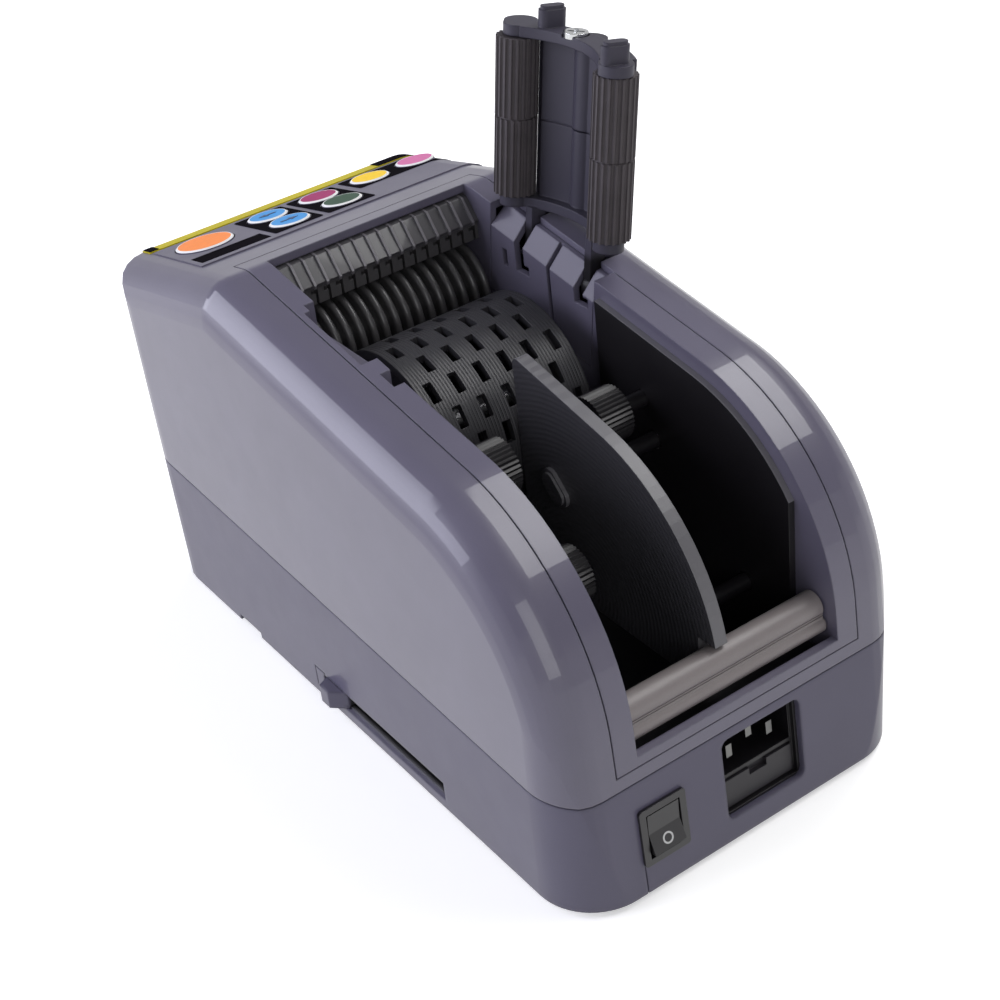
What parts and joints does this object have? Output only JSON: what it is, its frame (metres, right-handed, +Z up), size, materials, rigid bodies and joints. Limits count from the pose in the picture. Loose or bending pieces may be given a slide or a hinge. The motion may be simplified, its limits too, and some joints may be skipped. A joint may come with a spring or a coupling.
{
  "type": "electric tape dispenser",
  "caption": "Desktop electric tape dispenser with an open roll well, hinged press lid with fluted rollers, slotted feed drum, cutter, control panel and mains inlet.",
  "frame": {"origin": "under the middle of the case, on the plane of the feet", "axes": "+Z up, -Y towards the tape outlet, +Y towards the mains inlet, lid hinge on the -X side"},
  "size_m": [0.1228, 0.2248, 0.184],
  "materials": {
    "case_grey": "satin moulded",
    "dark_plastic": "satin moulded",
    "black_plastic": "fine matt",
    "roller_rubber": "matt fluted",
    "bar_grey": "satin moulded",
    "gear_plastic": "natural",
    "steel": "turned",
    "chrome": "plated",
    "brass": "turned",
    "board": "coated",
    "foot_rubber": "matt",
    "strip_yellow": "film",
    "orange": "film",
    "blue": "film",
    "magenta": "film",
    "green": "film",
    "yellow": "film",
    "pink": "film"
  },
  "bodies": {
    "case": {"base_shell": "case_grey", "upper_cover": "case_grey", "well_frame": "case_grey", "well_tub": "black_plastic", "hinge_cover": "case_grey", "hinge_pin": "steel", "upper_guide": "bar_grey", "tooth_bar": "black_plastic", "tape_deck": "dark_plastic", "front_mouth": "dark_plastic", "idler_axles": "steel", "shaft_bushes": "brass", "feed_motor": "steel", "cutter_frame": "steel", "fixed_blade": "steel", "cutter_motor": "steel", "wheel_axles": "steel", "mains_inlet": "black_plastic", "inlet_pins": "steel", "switch_frame": "black_plastic", "panel_overlay": "case_grey", "caution_strip": "strip_yellow", "name_bar": "black_plastic", "control_board": "board", "power_board": "board", "feet": "foot_rubber", "base_screws": "steel"},
    "lid": {"press_lid": "case_grey", "lid_screw": "chrome", "press_axles": "steel"},
    "front_press_roller": {"press_roller_front": "roller_rubber"},
    "rear_press_roller": {"press_roller_rear": "roller_rubber"},
    "drum": {"feed_drum": "dark_plastic", "drum_axle": "steel", "drum_gear": "gear_plastic"},
    "ring_roller": {"feed_roller": "black_plastic", "feed_shaft": "steel", "feed_gear": "gear_plastic"},
    "feed_idler": {"feed_idler": "gear_plastic"},
    "motor_idler": {"motor_idler": "gear_plastic"},
    "motor_pinion": {"motor_pinion": "brass"},
    "blade": {"moving_blade": "steel"},
    "crank": {"crank_disc": "gear_plastic"},
    "divider": {"divider": "dark_plastic", "divider_rods": "steel"},
    "wheel_1": {"guide_wheel_1": "black_plastic"},
    "wheel_2": {"guide_wheel_2": "black_plastic"},
    "wheel_3": {"guide_wheel_3": "black_plastic"},
    "rear_bar": {"rear_bar": "bar_grey"},
    "rocker": {"rocker": "black_plastic"},
    "fuse_drawer": {"fuse_drawer": "dark_plastic"},
    "slider": {"side_slider": "case_grey"},
    "start_button": {"start_button": "orange"},
    "blue_button_1": {"blue_button_1": "blue"},
    "blue_button_2": {"blue_button_2": "blue"},
    "magenta_button": {"magenta_button": "magenta"},
    "green_button": {"green_button": "green"},
    "yellow_button": {"yellow_button": "yellow"},
    "pink_button": {"pink_button": "pink"}
  },
  "joints": [
    {"name": "lid_hinge", "type": "hinge", "parent": "case", "child": "lid", "pos_m": [-0.0395, 0, 0.1095], "axis": [0, 1, 0], "range_deg": [0, 98]},
    {"name": "front_press_spin", "type": "hinge", "parent": "lid", "child": "front_press_roller", "pos_m": [-0.04213, -0.0306, 0.14902], "axis": [-0.1392, 0, 0.9903], "continuous": true},
    {"name": "rear_press_spin", "type": "hinge", "parent": "lid", "child": "rear_press_roller", "pos_m": [-0.04213, 0.0134, 0.14902], "axis": [-0.1392, 0, 0.9903], "continuous": true},
    {"name": "drum_spin", "type": "hinge", "parent": "case", "child": "drum", "pos_m": [0, -0.0086, 0.0781], "axis": [1, 0, 0], "continuous": true},
    {"name": "ring_roller_spin", "type": "hinge", "parent": "case", "child": "ring_roller", "pos_m": [0, -0.05101, 0.09388], "axis": [1, 0, 0], "continuous": true},
    {"name": "feed_idler_spin", "type": "hinge", "parent": "case", "child": "feed_idler", "pos_m": [0.041, -0.03496, 0.08791], "axis": [1, 0, 0], "continuous": true},
    {"name": "motor_idler_spin", "type": "hinge", "parent": "case", "child": "motor_idler", "pos_m": [0.041, -0.02061, 0.0451], "axis": [1, 0, 0], "continuous": true},
    {"name": "motor_spin", "type": "hinge", "parent": "case", "child": "motor_pinion", "pos_m": [0.041, -0.02715, 0.02713], "axis": [1, 0, 0], "continuous": true},
    {"name": "blade_slide", "type": "slide", "parent": "case", "child": "blade", "axis": [0, 0, 1], "range_m": [0, 0.006]},
    {"name": "crank_turn", "type": "hinge", "parent": "case", "child": "crank", "pos_m": [0, -0.0935, 0.062], "axis": [0, -1, 0], "range_deg": [0, 60]},
    {"name": "divider_slide", "type": "slide", "parent": "case", "child": "divider", "axis": [1, 0, 0], "range_m": [-0.009, 0.009]},
    {"name": "wheel_1_spin", "type": "hinge", "parent": "case", "child": "wheel_1", "pos_m": [0.023, 0.033, 0.088], "axis": [1, 0, 0], "continuous": true},
    {"name": "wheel_2_spin", "type": "hinge", "parent": "case", "child": "wheel_2", "pos_m": [0.023, 0.062, 0.068], "axis": [1, 0, 0], "continuous": true},
    {"name": "wheel_3_spin", "type": "hinge", "parent": "case", "child": "wheel_3", "pos_m": [-0.018, 0.033, 0.088], "axis": [1, 0, 0], "continuous": true},
    {"name": "rear_bar_hinge", "type": "hinge", "parent": "case", "child": "rear_bar", "pos_m": [0, 0.1015, 0.0475], "axis": [-1, 0, 0], "range_deg": [0, 45]},
    {"name": "rocker_hinge", "type": "hinge", "parent": "case", "child": "rocker", "pos_m": [0.0292, 0.10709, 0.01975], "axis": [-1, 0, 0], "range_deg": [0, 16]},
    {"name": "fuse_drawer_slide", "type": "slide", "parent": "case", "child": "fuse_drawer", "axis": [0, 0.9965, 0.0839], "range_m": [0, 0.012]},
    {"name": "side_slider_slide", "type": "slide", "parent": "case", "child": "slider", "axis": [0, 1, 0], "range_m": [0, 0.05]},
    {"name": "start_button_press", "type": "slide", "parent": "case", "child": "start_button", "axis": [0, 0.2233, -0.9747], "range_m": [0, 0.0008], "stiffness_N_per_m": 300, "springref_m": -0.001},
    {"name": "blue_button_1_press", "type": "slide", "parent": "case", "child": "blue_button_1", "axis": [0, 0.2233, -0.9747], "range_m": [0, 0.0008], "stiffness_N_per_m": 300, "springref_m": -0.001},
    {"name": "blue_button_2_press", "type": "slide", "parent": "case", "child": "blue_button_2", "axis": [0, 0.2233, -0.9747], "range_m": [0, 0.0008], "stiffness_N_per_m": 300, "springref_m": -0.001},
    {"name": "magenta_button_press", "type": "slide", "parent": "case", "child": "magenta_button", "axis": [0, 0.2233, -0.9747], "range_m": [0, 0.0008], "stiffness_N_per_m": 300, "springref_m": -0.001},
    {"name": "green_button_press", "type": "slide", "parent": "case", "child": "green_button", "axis": [0, 0.2233, -0.9747], "range_m": [0, 0.0008], "stiffness_N_per_m": 300, "springref_m": -0.001},
    {"name": "yellow_button_press", "type": "slide", "parent": "case", "child": "yellow_button", "axis": [0, 0.2233, -0.9747], "range_m": [0, 0.0008], "stiffness_N_per_m": 300, "springref_m": -0.001},
    {"name": "pink_button_press", "type": "slide", "parent": "case", "child": "pink_button", "axis": [0, 0.2233, -0.9747], "range_m": [0, 0.0008], "stiffness_N_per_m": 300, "springref_m": -0.001}
  ],
  "couplings": [
    {"joint": "ring_roller_spin", "follows": "drum_spin", "ratio": 2},
    {"joint": "feed_idler_spin", "follows": "drum_spin", "ratio": -3.6667},
    {"joint": "motor_idler_spin", "follows": "drum_spin", "ratio": -1.6923},
    {"joint": "motor_spin", "follows": "drum_spin", "ratio": 3.6667},
    {"joint": "crank_turn", "follows": "blade_slide", "rad_per_m": 174.5}
  ]
}
